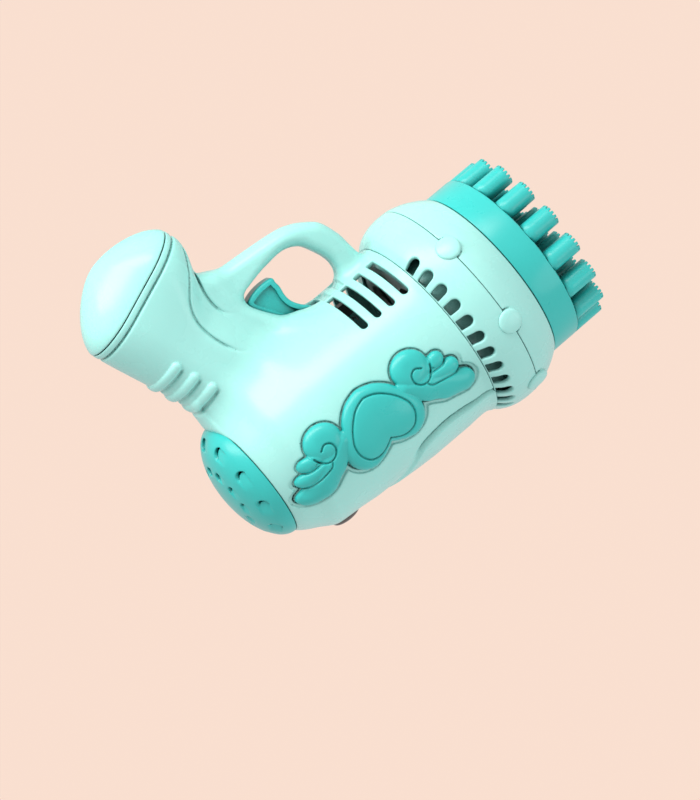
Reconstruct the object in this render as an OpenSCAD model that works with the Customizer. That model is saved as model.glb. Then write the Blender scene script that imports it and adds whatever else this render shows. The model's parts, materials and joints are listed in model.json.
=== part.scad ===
// Hand-held bubble gun: a fan in a round barrel blows through 36 small dipped tubes.
// +X is forward along the barrel, +Z is up, +Y is the gun's left. Millimetres.
// The origin is the centre of the nozzle ring's front face.

/* [Barrel] */
// Distance from the rear rim to the nozzle ring's front face
nozzle_face = 168.9; // [168:0.1:170]
// Radius of the rear rim, where the rear cap sits
rear_r = 32.6; // [32:0.1:33]
// Depth of the domed rear cap
cap_depth = 16.5; // [15:0.5:18]
// Distance from the rear rim to the front collar
barrel_len = 113.4; // [113:0.1:114]
// Radius of the barrel behind the front collar
barrel_r = 48; // [47.6:0.1:48.2]
// Wall of the barrel and the grip
wall = 2.4; // [2.2:0.1:2.6]
// Number of vent slots on each side of the barrel
vent_count = 4; // [2:1:4]
// Distance between the vent slots
vent_pitch = 8.6; // [8:0.1:9]

/* [Collar] */
// Largest radius of the front collar
collar_r = 56.8; // [56:0.1:58]
// Distance from the rear rim to the seam between the collar's halves
seam_x = 134; // [133:0.5:135]
// Distance from the rear rim to the collar's front edge
collar_front = 153.4; // [153:0.2:154]
// Number of air slots on each side of the collar
slot_count = 12; // [8:1:12]
// Angle between the air slots
slot_pitch = 10.3; // [10:0.1:10.6]
// Diameter of the studs on the seam
stud_d = 11; // [9:0.5:12]

/* [Nozzle] */
// Radius of the nozzle ring
ring_r = 48.4; // [48.2:0.1:48.6]
// Outer diameter of each tube
tube_d = 11; // [10:0.1:11]
// Bore of each tube
tube_bore = 9; // [7.5:0.1:9.4]
// Length of the tubes in front of the ring
tube_len = 17.5; // [15:0.5:20]
// Radii of the three rings of tubes
tube_rings = [42.9, 29.1, 15.3];
// Number of tubes in each ring
tube_counts = [16, 12, 8];
// Angle of each ring's first tube above the side
tube_turn = 3; // [0:0.5:10]

/* [Grip] */
// Backward rake of the grip in degrees
rake = 22; // [21:0.5:23]
// Distance along the grip from the barrel's axis to the battery cap
grip_len = 97.2; // [96.5:0.1:98]
// Half of the column's width from side to side
column_r = 20; // [19.8:0.1:20.4]
// Half of the bulb's width from side to side
bulb_r = 22.5; // [22:0.1:23]
// Height of the domed battery cap
dome_h = 21; // [20:0.5:22]
// Number of finger ribs at the back
rib_count = 3; // [0:1:3]

/* [Trigger] */
// Width of the trigger
trigger_w = 9.6; // [9:0.1:10]
// Diameter of the trigger's pin
pin_d = 3; // [2.5:0.1:3]

/* [Badge] */
// Height of the badge above the barrel
badge_h = 4.9; // [3:0.1:5]
// Place of the badge round the barrel, in degrees above the side
badge_angle = 8.5; // [6:0.5:12]
// Distance from the rear rim to the middle of the badge
badge_x = 56; // [55:0.5:58]

/* [Hidden] */
$fn = 64;
eps = 0.01;
mint = [0.72, 0.95, 0.91];
teal = [0.25, 0.76, 0.73];
steel = [0.75, 0.76, 0.78];
brass = [0.80, 0.65, 0.30];
dark = [0.20, 0.18, 0.18];
white = [0.92, 0.93, 0.93];

// Outside of the barrel: radius and distance from the rear rim.
BARREL = [
    [rear_r, 0], [39.1, 10], [43.8, 19], [44.9, 32], [46.1, 43], [46.6, 60],
    [47.1, 100], [barrel_r, 109.8], [barrel_r + 1.8, barrel_len]
];

// The grip's own frame: u runs forwards across it, w runs up along it.
column_u = 38;
column_half = 24;
bulb_u = 47.2;
bulb_half = 34;
flare_w = -62;
cell_r = 7.1;
cell_len = 50.5;
cell_top = -44.8;
cell_spots = [[-7.25, -7.25], [7.25, -7.25], [7.25, 7.25], [-7.25, 7.25]];
cap_screw_at = [66, -9];
dome_power = 1.55;

// Centre of the trigger's pin: x and z.
pivot = [70, -42];
vent_x = 81.1;
vent_w = 4;
button_x = 25.5;
button_r = 8;
board_top = 28;
stud_angles = [-38.5, 8.5, 54];

// Fan, motor and their plate, by distance from the rear rim.
plate_x = 110.4;
plate_t = barrel_len - plate_x;
motor_r = 12;
motor_len = 30;
shaft_r = 1.15;
fan_r = 41.6;
duct_r = 42.4;

// Housing screws: x, z, y under the head, y at the tip.
SCREWS = [
    [10.5, -20, -8, 9], [66, 34, -8, 9], [104, 34, -8, 9],
    [99, -65, -4.2, 5.6], [50, -81, -4.2, 5.6]
];

// Routes of the inner wires on the left side; the right side mirrors them.
BATTERY_WIRE = [[19.3, 2, -53.6], [20, 3, -30], [24, 5, 0], [24, 5, 26.3]];
MOTOR_WIRE = [
    [33, 6, 26.3], [33, 6, 21], [45, 7, 12], [65, 6, 4], [75, 6, 2], [80.3, 6, 2]
];
SWITCH_WIRE = [
    [30, 10, 26.3], [30, 10, 21], [48, 14, 0], [66, 12, -22], [77, 7, -32], [80, 4.1, -34]
];
wire_r = 0.8;

// ---- Helpers ----

// Places children that are measured from the rear rim.
module from_rear() {
    translate([-nozzle_face, 0, 0]) children();
}

// Places children that are given in the grip's own frame.
module in_grip() {
    from_rear() rotate([0, rake, 0]) children();
}

// A ring or solid of revolution about the barrel's axis; points are [radius, x].
module turned(points) {
    rotate([0, 90, 0]) rotate_extrude() polygon(points);
}

// A rod along X.
module rod_x(r, x0, x1) {
    translate([x0, 0, 0]) rotate([0, 90, 0]) cylinder(r = r, h = x1 - x0);
}

// A rod along Y.
module rod_y(r, y0, y1) {
    translate([0, y1, 0]) rotate([90, 0, 0]) cylinder(r = r, h = y1 - y0);
}

// A flat piece whose outline is given in x and z.
module side_plate(points, half) {
    translate([0, half, 0]) rotate([90, 0, 0]) linear_extrude(2 * half) polygon(points);
}

// A prism with rounded ends, long across u.
module stadium(u, half, r, w0, w1) {
    translate([u, 0, w0]) linear_extrude(w1 - w0) {
        translate([half - r, 0]) circle(r);
        translate([r - half, 0]) circle(r);
        square([2 * (half - r), 2 * r], center = true);
    }
}

function grown(points, by) = [for (p = points) [p[0] + by, p[1]]];

function reversed(points) = [for (i = [len(points) - 1 : -1 : 0]) points[i]];

// A closed profile between two offsets of the barrel's outside.
function band(inner, outer) = concat(grown(BARREL, outer), reversed(grown(BARREL, inner)));

function unit(v) = v / norm(v);

function tangent(path, i) =
    unit(path[min(i + 1, len(path) - 1)] - path[max(i - 1, 0)]);

// One ring of a round tube about point i of a path.
function ring_at(path, i, r, sides, side_ref) =
    let (t = tangent(path, i), a = unit(cross(t, side_ref)), b = cross(t, a))
    [for (k = [0 : sides - 1]) path[i] + r * (cos(360 * k / sides) * a + sin(360 * k / sides) * b)];

// A round tube swept along a path, closed at both ends.
module swept(path, r, sides, side_ref) {
    n = len(path);
    points = [for (i = [0 : n - 1]) each ring_at(path, i, r, sides, side_ref)];
    walls = [for (i = [0 : n - 2], k = [0 : sides - 1])
        [i * sides + k, i * sides + (k + 1) % sides, (i + 1) * sides + (k + 1) % sides,
            (i + 1) * sides + k]];
    start = [for (k = [sides - 1 : -1 : 0]) k];
    end = [for (k = [0 : sides - 1]) (n - 1) * sides + k];
    polyhedron(points = points, faces = concat([start], walls, [end]));
}

// ---- Housing ----

module barrel_outside() {
    turned(concat([[0, 0]], BARREL, [[0, barrel_len]]));
}

module barrel_inside() {
    turned([
        [0, -1], [rear_r - 2.2, -1], [rear_r - 2.2, 1], [39.1 - wall, 10.4],
        [43.8 - wall, 19.6], [44.9 - wall, 32.2], [46.1 - wall, 43], [46.6 - wall, 60],
        [47.1 - wall, 100], [barrel_r - wall, 109.8], [barrel_r - wall, barrel_len + 1],
        [0, barrel_len + 1]
    ]);
}

// A low arrowhead on top that widens towards the collar.
module top_panel() {
    intersection() {
        turned(band(-0.6, 1.6));
        linear_extrude(60) polygon([[54, 0], [70, 29.5], [barrel_len, 36.5],
            [barrel_len, -36.5], [70, -29.5]]);
    }
}

module grip_column(inset, w0, w1) {
    stadium(column_u, column_half - inset, column_r - inset, w0, w1);
}

module grip_flare(inset, floor_w) {
    hull() {
        stadium(bulb_u, bulb_half - inset, bulb_r - inset, floor_w, -90, $fn = 32);
        stadium(column_u, column_half - inset, column_r - inset, flare_w, flare_w + 4, $fn = 32);
    }
}

module grip_ribs() {
    for (i = [0 : rib_count - 1])
        intersection() {
            stadium(column_u, column_half + 2.6, column_r + 1.6, -46.5 - 10 * i, -42 - 10 * i);
            translate([0, -30, -80]) cube([29, 60, 60]);
        }
}

// The narrow body in front of the grip that carries the trigger.
module trigger_housing() {
    side_plate([
        [24, -40], [66, -40], [66, -46], [58.5, -51.7], [54.7, -58], [48, -69],
        [46, -78], [45.6, -88.9], [36, -92], [25, -80]
    ], 11);
}

module finger_guard() {
    side_plate([
        [40, -88.6], [45.6, -88.9], [79, -86.2], [90, -83.5], [97, -79.6], [101.8, -75.5],
        [105.2, -68], [107, -60], [108, -42], [93.6, -42], [94.7, -56.6], [90.5, -67.6],
        [86, -73.5], [80, -77], [65.5, -76], [48.7, -71.5], [40, -75]
    ], 7);
}

// Open space that the trigger swings in.
module trigger_slot() {
    side_plate([
        [47.5, -50], [42.9, -60], [41.2, -66], [41.2, -70.8], [48, -73.5], [76.6, -73.5],
        [76.6, -40], [58, -40], [56, -46]
    ], trigger_w / 2 + 0.6);
}

module vents() {
    for (i = [0 : vent_count - 1], side = [0, 1])
        mirror([0, side, 0]) translate([vent_x + vent_pitch * i - vent_w / 2, 0, 0])
            rotate([0, 90, 0]) rotate([0, 0, 13]) rotate_extrude(angle = 39.5)
                translate([40, 0]) square([14, vent_w]);
}

// Shelf for the trigger's switch, with a wall that its spring leans on.
module switch_shelf() {
    translate([77, -6, -45.2]) cube([14.2, 12, 7.7]);
    translate([89.2, -6, -40]) cube([2, 12, 19]);
}

module board_ribs() {
    intersection() {
        barrel_outside();
        for (x = [10.7, 35.6]) translate([x, -16, board_top]) cube([2, 32, 20]);
    }
}

module button_guide() {
    intersection() {
        barrel_outside();
        translate([button_x, 0, 37.2]) cylinder(r = button_r + 2.3, h = 12);
    }
}

module screw_posts() {
    intersection() {
        barrel_outside();
        for (s = SCREWS) if (s[1] > -40) translate([s[0], 0, s[1]]) rod_y(4.2, -45, 45);
    }
}

module pin_bosses() {
    for (side = [-1, 1])
        translate([pivot[0], side * 8.2, pivot[1]]) rod_y(3.6, -2.8, 2.8);
}

module mount_seat() {
    turned([[42.5, 108.9], [46.4, 108.9], [46.4, plate_x], [42.5, plate_x]]);
}

module screw_holes() {
    for (s = SCREWS) translate([s[0], 0, s[1]]) {
        rod_y(1.6, s[2] - eps, 0);
        rod_y(3.2, -46, s[2]);
        rod_y(1.4, -eps, s[3] + 0.4);
    }
}

// Floor of the grip round the battery bay, and the boss for the cap's screw.
module cap_boss() {
    rotate([0, rake, 0]) translate([cap_screw_at[0], cap_screw_at[1], -grip_len])
        cylinder(r = 4.2, h = 14);
}

module cap_boss_hole() {
    rotate([0, rake, 0]) translate([cap_screw_at[0], cap_screw_at[1], -grip_len - 1])
        cylinder(r = 2.5, h = 12.1);
}

module housing() {
    difference() {
        union() {
            difference() {
                union() {
                    barrel_outside();
                    top_panel();
                    rotate([0, rake, 0]) {
                        grip_column(0, -64, -28);
                        grip_flare(0, -grip_len);
                        grip_ribs();
                    }
                    trigger_housing();
                    finger_guard();
                }
                barrel_inside();
                rotate([0, rake, 0]) {
                    grip_column(2.2, -grip_len - 1, -28);
                    grip_flare(2.4, -grip_len + wall);
                }
            }
            board_ribs();
            button_guide();
            screw_posts();
            switch_shelf();
            pin_bosses();
            mount_seat();
            cap_boss();
        }
        trigger_slot();
        vents();
        screw_holes();
        cap_boss_hole();
        translate([button_x, 0, 30]) cylinder(r = button_r + 0.3, h = 20);
        translate([pivot[0], 0, pivot[1]]) rod_y(pin_d / 2, -10.2, 10.2);
    }
}

module left_shell() {
    color(mint) from_rear() intersection() {
        housing();
        translate([-40, 0, -140]) cube([200, 80, 220]);
    }
}

module right_shell() {
    color(mint) from_rear() intersection() {
        housing();
        translate([-40, -80, -140]) cube([200, 80, 220]);
    }
}

// ---- Collar ----

module studs(r, r0, r1) {
    for (side = [0, 1], a = stud_angles)
        mirror([0, side, 0]) rotate([a, 0, 0]) translate([seam_x, 0, 0]) rod_y(r, r0, r1);
}

// Outline of an air slot with a round front end, in x and along the collar's rim.
function slot_outline(x0, x1, half) = concat(
    [[x0, half], [x0, -half]],
    [for (i = [0 : 10]) [x1 + half * sin(18 * i), -half * cos(18 * i)]]
);

module collar_slots() {
    for (side = [0, 1], i = [0 : slot_count - 1])
        mirror([0, side, 0]) rotate([67.3 - slot_pitch * i, 0, 0]) translate([0, 62, 0])
            rotate([90, 0, 0]) linear_extrude(15) polygon(slot_outline(114, 118, 2.9));
}

module vent_collar() {
    color(mint) from_rear() difference() {
        turned([
            [44.6, barrel_len], [barrel_r + 1.8, barrel_len], [53.3, 117.3], [55.3, 121.5],
            [collar_r, 129.6], [collar_r - 0.1, seam_x], [collar_r - 2.8, seam_x],
            [collar_r - 2.6, 129], [52.9, 122.2], [50.6, 117.6], [47, 115.4], [44.6, 115.4]
        ]);
        collar_slots();
        studs(stud_d / 2 + 0.2, 50, 62);
    }
}

module front_collar() {
    color(mint) from_rear() {
        turned([
            [collar_r - 2.8, seam_x], [collar_r - 0.1, seam_x], [55.3, 140.8], [52, 148.2],
            [ring_r, collar_front], [46, collar_front], [46, 151], [49.4, 146.8],
            [52.7, 140.2]
        ]);
        studs(stud_d / 2, 55, 58.6);
    }
}

// ---- Nozzle ----

module nozzle_ring() {
    color(teal) from_rear() turned([
        [43.2, 150], [45.8, 150], [45.8, collar_front], [ring_r, collar_front],
        [ring_r, nozzle_face], [47.3, nozzle_face], [47.3, nozzle_face - 2.8],
        [43.2, nozzle_face - 2.8]
    ]);
}

module at_tubes() {
    for (k = [0 : len(tube_rings) - 1], i = [0 : tube_counts[k] - 1])
        rotate([360 * i / tube_counts[k] + tube_turn, 0, 0]) translate([0, tube_rings[k], 0]) children();
}

module nozzle_tubes() {
    color(teal) difference() {
        union() {
            rod_x(47.2, -2.8, 0.6);
            at_tubes() rod_x(tube_d / 2, 0.1, tube_len);
        }
        at_tubes() rod_x(tube_bore / 2, -4, tube_len + 1);
    }
}

// ---- Rear cap ----

function dome(r, depth, steps) =
    [for (i = [0 : steps]) [r * cos(90 * i / steps), -depth * sin(90 * i / steps)]];

// The cap's dome and the spigot that plugs into the barrel are one turned wall.
module rear_cap() {
    color(teal) from_rear() difference() {
        turned(concat(
            [[rear_r - 4.4, 5], [rear_r - 2.4, 5], [rear_r - 2.4, 0]],
            dome(rear_r, cap_depth, 8),
            reversed(dome(rear_r - 4.4, cap_depth - wall, 8))
        ));
        for (i = [0 : 11])
            rotate([30 * i, 0, 0]) translate([-cap_depth - 1, 13, -1.2]) cube([cap_depth, 11, 2.4]);
    }
}

// ---- Badges ----

module badge_prism(points) {
    rotate([90, 0, 0]) linear_extrude(36) polygon(points);
}

module badge_disc(x, z, r) {
    translate([x, 0, z]) rod_y(r, -36, 0);
}

// Heart with its point down, and on each side a curl and three feathers that sweep up.
module badge_body() {
    badge_prism([[-5, -18.6], [5, -18.6], [21, 4], [12, 17], [0, 12], [-12, 17], [-21, 4]]);
    badge_disc(0, -14.6, 5.7);
    for (side = [0, 1]) mirror([side, 0, 0]) {
        badge_disc(11, 8, 10.6);
        badge_disc(27, -10, 9.4);
        badge_prism([
            [16, 2], [23.4, 6.6], [33.6, 13], [42.9, 17.6], [48.4, 18], [50.8, 12.3], [50.3, 6.5],
            [48.3, 2], [47.2, -2], [43, -7], [36.3, -9.7], [20.4, -14], [13.6, -9.2]
        ]);
    }
}

module badge() {
    intersection() {
        rotate([badge_angle, 0, 0]) translate([badge_x, 58, 0]) badge_body();
        turned(band(0.1, badge_h));
    }
}

module left_badge() {
    color(teal) from_rear() badge();
}

module right_badge() {
    color(teal) from_rear() mirror([0, 1, 0]) badge();
}

// ---- Top button and board ----

module top_button() {
    color(dark) from_rear() translate([button_x, 0, 0]) {
        translate([0, 0, 35.6]) cylinder(r = button_r + 1.6, h = 1.3);
        intersection() {
            translate([0, 0, 35.6]) cylinder(r = button_r, h = 12);
            translate([0, 0, 29.2]) sphere(r = 17.9);
        }
    }
}

module button_plunger() {
    color(white) from_rear() translate([button_x, 0, 30.5]) cylinder(r = 1.6, h = 5.1);
}

module button_switch() {
    color(dark) from_rear() difference() {
        translate([button_x - 4, -4, board_top]) cube([8, 8, 5.5]);
        translate([button_x, 0, 28.8]) cylinder(r = 1.65, h = 6);
    }
}

module control_board() {
    color([0.1, 0.45, 0.25]) from_rear() translate([10.5, -14, board_top - 1.6]) cube([26.5, 28, 1.6]);
}

// ---- Trigger ----

module trigger() {
    color(teal) from_rear() difference() {
        union() {
            side_plate([
                [65.8, -70.4], [66.6, -67], [67, -64], [66.5, -59.3], [67.5, -54.8],
                [70.5, -50.4], [74.3, -47], [74.5, -42], [72, -38.2], [72, -24],
                [67.6, -24], [66, -38], [62, -44], [56, -54], [50.5, -62], [48.8, -67.4],
                [58.7, -70.8]
            ], trigger_w / 2);
            translate([pivot[0], 0, pivot[1]]) rod_y(4.5, -trigger_w / 2, trigger_w / 2);
        }
        translate([pivot[0], 0, pivot[1]]) rod_y(pin_d / 2 + 0.05, -6, 6);
    }
}

module trigger_pin() {
    color(steel) from_rear() translate([pivot[0], 0, pivot[1]]) rod_y(pin_d / 2, -10.2, 10.2);
}

module trigger_spring() {
    turns = 7;
    steps = 12;
    coil_r = 2.5;
    path = [for (i = [0 : turns * steps]) [
        72.8 + 15.8 * i / (turns * steps),
        coil_r * cos(360 * i / steps),
        -26 + coil_r * sin(360 * i / steps)
    ]];
    color(steel) from_rear() swept(path, 0.4, 6, [1, 0, 0]);
}

module trigger_switch() {
    color(dark) from_rear() difference() {
        translate([76.4, -3.2, -37.5]) cube([12.8, 6.4, 6.5]);
        translate([0, 0, -34.5]) rod_x(1.15, 76, 82.4);
    }
}

module trigger_plunger() {
    color(white) from_rear() translate([0, 0, -34.5]) rod_x(1.1, 72.2, 79.5);
}

// ---- Fan ----

module fan_motor() {
    color(steel) from_rear() difference() {
        union() {
            rod_x(motor_r, plate_x - motor_len, plate_x);
            rod_x(4.5, plate_x - 1, plate_x + 2);
        }
        rod_x(shaft_r + 0.05, 105.8, 114);
        for (y = [-8, 8]) translate([0, y, 0]) rod_x(1.25, 106.9, plate_x + 1);
    }
}

module motor_shaft() {
    color(steel) from_rear() rod_x(shaft_r, 106, 130);
}

module motor_mount() {
    color(white) from_rear() difference() {
        rod_x(45.3, plate_x, barrel_len);
        rod_x(4.6, plate_x - 1, barrel_len + 1);
        for (y = [-8, 8]) translate([0, y, 0]) rod_x(1.3, plate_x - 1, barrel_len + 1);
        for (i = [0 : 7]) rotate([45 * i, 0, 0]) translate([0, 28, 0]) rod_x(9, 110, 116);
    }
}

module motor_screws() {
    color(steel) from_rear() for (y = [-8, 8]) translate([0, y, 0]) {
        rod_x(1.25, 107.4, barrel_len);
        rod_x(2.2, barrel_len, barrel_len + 1.5);
    }
}

module fan_impeller() {
    color(white) from_rear() difference() {
        union() {
            rod_x(10, 118, 132);
            intersection() {
                difference() {
                    rod_x(fan_r, 117, 133);
                    rod_x(9, 116, 134);
                }
                for (i = [0 : 6]) rotate([360 * i / 7, 0, 0]) translate([125, 0, 0])
                    rotate([0, 35, 0]) rotate([0, 0, 90]) translate([0, -7, -0.8]) cube([45, 14, 1.6]);
            }
        }
        rod_x(shaft_r, 117, 130);
    }
}

module fan_duct() {
    color(mint) from_rear() difference() {
        rod_x(duct_r + 1.8, barrel_len, 150);
        rod_x(duct_r, barrel_len - 1, 151);
    }
}

// ---- Batteries ----

module battery_holder() {
    color(white) in_grip() {
        grip_column(2.7, cell_top + 0.4, cell_top + 2);
        translate([column_u, 0, -94]) cylinder(r = 2.8, h = 94 + cell_top + 0.41);
    }
}

// Odd cells stand with their button up, even ones with it down.
module battery_cell(i) {
    up = i % 2 == 0;
    color([0.3, 0.3, 0.32]) in_grip()
        translate([column_u + cell_spots[i][0], cell_spots[i][1], cell_top - cell_len]) {
            translate([0, 0, up ? 0 : 1]) cylinder(r = cell_r, h = cell_len - 1);
            cylinder(r = 2.6, h = up ? cell_len : 2);
        }
}

module battery_cell_1() {
    battery_cell(0);
}

module battery_cell_2() {
    battery_cell(1);
}

module battery_cell_3() {
    battery_cell(2);
}

module battery_cell_4() {
    battery_cell(3);
}

// Thin plates that join the cells in pairs.
module contact_pair(w) {
    for (y = [-7.25, 7.25])
        translate([column_u - 12, y - 2, w]) cube([24, 4, 0.4]);
}

module upper_contacts() {
    color(brass) in_grip() contact_pair(cell_top);
}

module lower_contacts() {
    color(brass) in_grip() contact_pair(-95.8);
}

// A dome on a long oval: its sections shrink towards the middle as they go down.
module cap_dome(half, r, h) {
    translate([bulb_u, 0, -grip_len]) hull() for (i = [0 : 8]) {
        size = max(0.05, pow(cos(11.25 * i), 2 / dome_power));
        depth = h * pow(sin(11.25 * i), 2 / dome_power);
        scale([size, size, 1]) stadium(0, half, r, -depth - 0.02, -depth, $fn = 32);
    }
}

module battery_cap() {
    color(mint) in_grip() difference() {
        union() {
            difference() {
                cap_dome(bulb_half, bulb_r, dome_h);
                cap_dome(bulb_half - wall, bulb_r - wall, dome_h - wall);
            }
            intersection() {
                cap_dome(bulb_half - 1, bulb_r - 1, dome_h - 1);
                union() {
                    translate([0, -30, -grip_len - 2]) cube([90, 60, 2]);
                    translate([cap_screw_at[0], cap_screw_at[1], -130]) cylinder(r = 5.4, h = 40);
                }
            }
            stadium(column_u, 21.3, 17.3, -grip_len - eps, -95.8);
        }
        translate([cap_screw_at[0], cap_screw_at[1], -130]) cylinder(r = 1.7, h = 40);
        translate([cap_screw_at[0], cap_screw_at[1], -130]) cylinder(r = 3.6, h = 26);
    }
}

module cap_screw() {
    color(steel) in_grip() translate([cap_screw_at[0], cap_screw_at[1], 0]) {
        translate([0, 0, -106.2]) cylinder(r = 2.9, h = 2.2);
        translate([0, 0, -104.1]) cylinder(r = 1.5, h = 15);
    }
}

module cap_insert() {
    color(brass) in_grip() translate([cap_screw_at[0], cap_screw_at[1], -95.2]) difference() {
        cylinder(r = 2.5, h = 9);
        translate([0, 0, -1]) cylinder(r = 1.6, h = 11);
    }
}

// ---- Fasteners and wires ----

module shell_screws() {
    color(steel) from_rear() for (s = SCREWS) translate([s[0], 0, s[1]]) {
        rod_y(2.8, s[2] - 2, s[2]);
        rod_y(1.4, s[2] - eps, s[3]);
    }
}

module wire_pair(path) {
    for (side = [0, 1]) mirror([0, side, 0]) swept(path, wire_r, 8, [0, 1, 0]);
}

module battery_wires() {
    color([0.75, 0.1, 0.1]) from_rear() wire_pair(BATTERY_WIRE);
}

module motor_wires() {
    color([0.1, 0.1, 0.1]) from_rear() wire_pair(MOTOR_WIRE);
}

module switch_wires() {
    color([0.85, 0.7, 0.1]) from_rear() wire_pair(SWITCH_WIRE);
}

left_shell();
right_shell();
vent_collar();
front_collar();
nozzle_ring();
nozzle_tubes();
rear_cap();
left_badge();
right_badge();
top_button();
button_plunger();
button_switch();
control_board();
trigger();
trigger_pin();
trigger_spring();
trigger_switch();
trigger_plunger();
fan_motor();
motor_shaft();
fan_impeller();
motor_mount();
motor_screws();
fan_duct();
battery_holder();
battery_cell_1();
battery_cell_2();
battery_cell_3();
battery_cell_4();
upper_contacts();
lower_contacts();
battery_cap();
cap_screw();
cap_insert();
shell_screws();
battery_wires();
motor_wires();
switch_wires();
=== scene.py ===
"""Bubble gun: moulded plastic shells, collar, tubes, caps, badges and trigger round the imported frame.

Shapes are signed distance fields in millimetres, with X forward from the rear rim of the barrel,
turned into meshes and moved into the frame. The nozzle ring, the tubes and the spring are profiles
swept round an axis instead.
"""
import json
import math

import bpy
import numpy as np
from mathutils import Matrix, Vector


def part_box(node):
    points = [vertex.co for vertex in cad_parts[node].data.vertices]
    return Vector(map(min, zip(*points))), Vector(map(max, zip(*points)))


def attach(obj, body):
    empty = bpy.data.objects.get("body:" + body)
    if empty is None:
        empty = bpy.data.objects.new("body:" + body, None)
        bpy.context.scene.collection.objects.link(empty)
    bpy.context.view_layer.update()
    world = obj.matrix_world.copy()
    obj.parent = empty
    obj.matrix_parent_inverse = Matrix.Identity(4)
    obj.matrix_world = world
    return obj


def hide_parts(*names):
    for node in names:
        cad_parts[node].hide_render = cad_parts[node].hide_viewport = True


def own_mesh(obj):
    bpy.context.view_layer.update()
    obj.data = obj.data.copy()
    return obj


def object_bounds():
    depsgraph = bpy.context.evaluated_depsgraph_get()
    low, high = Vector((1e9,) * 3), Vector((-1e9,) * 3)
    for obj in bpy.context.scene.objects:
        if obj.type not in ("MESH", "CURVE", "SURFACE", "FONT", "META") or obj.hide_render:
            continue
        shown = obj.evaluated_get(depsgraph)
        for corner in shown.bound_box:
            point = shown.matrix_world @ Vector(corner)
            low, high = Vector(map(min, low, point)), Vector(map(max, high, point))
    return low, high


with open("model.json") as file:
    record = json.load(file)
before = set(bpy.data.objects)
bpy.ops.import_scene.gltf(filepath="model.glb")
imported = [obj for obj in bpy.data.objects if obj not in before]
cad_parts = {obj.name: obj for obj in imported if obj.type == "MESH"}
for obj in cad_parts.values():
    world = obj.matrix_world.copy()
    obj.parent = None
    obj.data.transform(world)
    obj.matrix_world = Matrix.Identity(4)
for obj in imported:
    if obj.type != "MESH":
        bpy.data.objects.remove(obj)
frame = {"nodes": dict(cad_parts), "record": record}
cad_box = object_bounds()

# ---- Sizes, from the frame ----

MM = 0.001
SPIGOT = 5
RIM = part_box("rear_cap")[1].x - SPIGOT * MM


def ahead(place):
    """Distance in mm from the rear rim to a place along X in the frame."""
    return (place - RIM) / MM


CAP_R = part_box("rear_cap")[1].z / MM
CAP_DEPTH = -ahead(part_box("rear_cap")[0].x)
BARREL_END = ahead(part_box("vent_collar")[0].x)
SEAM = ahead(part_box("vent_collar")[1].x)
COLLAR_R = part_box("vent_collar")[1].z / MM
COLLAR_END = ahead(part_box("front_collar")[1].x)
FACE = ahead(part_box("nozzle_ring")[1].x)
RING_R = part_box("nozzle_ring")[1].z / MM
TIPS = ahead(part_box("nozzle_tubes")[1].x)
BUTTON_X = ahead((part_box("top_button")[0].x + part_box("top_button")[1].x) / 2)
BUTTON_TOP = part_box("top_button")[1].z / MM
PIVOT = (ahead((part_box("trigger_pin")[0].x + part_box("trigger_pin")[1].x) / 2),
         (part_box("trigger_pin")[0].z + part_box("trigger_pin")[1].z) / 2 / MM)
TRIGGER_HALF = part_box("trigger")[1].y / MM

WALL = 2.4

# The grip has its own axes, u forward and w up, turned by RAKE. It is a long oval in section, and
# widens from the column round the cells to the bulb above the battery cap.
RAKE = math.radians(22)
GRIP_LEN = 97.2
COLUMN_U, COLUMN_HALF, COLUMN_R = 38, 4, 20
BULB_U, BULB_HALF, BULB_R = 47.2, 11.5, 22.5
BAY_R, PLUG_R = 17.8, 17.3

# Depth of the battery cap's dome, and how square its profile is.
DOME = 21
DOME_POWER = 1.55
CAP_SCREW = (66, -9)

# Place of the badge along the barrel, its angle above the side, and the radius that it lies on.
BADGE_X = 56
BADGE_ANGLE = 8.5
BADGE_R = 49.5

STUD_ANGLES = (-38.5, 8.5, 54)
STUD_R = 6.1

# Air slots of the collar, on each side: highest angle, pitch, count, half width, and the radius
# that the half width is measured at.
AIR_TOP, AIR_PITCH, AIR_COUNT, AIR_HALF, AIR_R = 67.3, 10.3, 12, 2.9, 54

# Radius and count of each ring of tubes, and how far all of them are turned.
TUBE_RINGS = ((42.9, 16), (29.1, 12), (15.3, 8))
TUBE_TURN = math.radians(3)
TUBE_R, BORE_R = 5.5, 4.5
TEETH, TOOTH_STEPS, NOTCH_FROM, NOTCH = 14, 8, 5, 1.3
PLATE_R = 47.2

# Place of each housing screw along x and z, and the depth of its head in the right shell.
SCREWS = ((10.5, -20, -8), (66, 34, -8), (104, 34, -8), (99, -65, -4.2), (50, -81, -4.2))


# ---- Camera, floor and lights ----

LENS = 136.9
CAMERA_AWAY = 1.46
FLOOR_HALF = 3


def add_camera():
    right = Vector((0.745, 0.321, 0.585)).normalized()
    up = Vector((0.634, -0.067, -0.771))
    up = (up - right * up.dot(right)).normalized()
    back = right.cross(up)
    target = Vector((RIM + 58.8 * MM, 12.6 * MM, -1.3 * MM))
    data = bpy.data.cameras.new("camera")
    data.lens = LENS
    data.sensor_width = 36
    camera = bpy.data.objects.new("camera", data)
    turn = Matrix((right, up, back)).transposed().to_4x4()
    camera.matrix_world = Matrix.Translation(target + back * CAMERA_AWAY) @ turn
    bpy.context.scene.collection.objects.link(camera)
    bpy.context.scene.camera = camera
    return right, up, back, target


def add_area(name, place, target, size, power, colour, shine=True):
    data = bpy.data.lights.new(name, "AREA")
    data.shape = "ELLIPSE"
    data.size, data.size_y = size
    data.energy = power
    data.color = colour
    light = bpy.data.objects.new(name, data)
    light.location = place
    light.visible_glossy = shine
    light.rotation_euler = (target - Vector(place)).to_track_quat("-Z", "Y").to_euler()
    bpy.context.scene.collection.objects.link(light)


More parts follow.
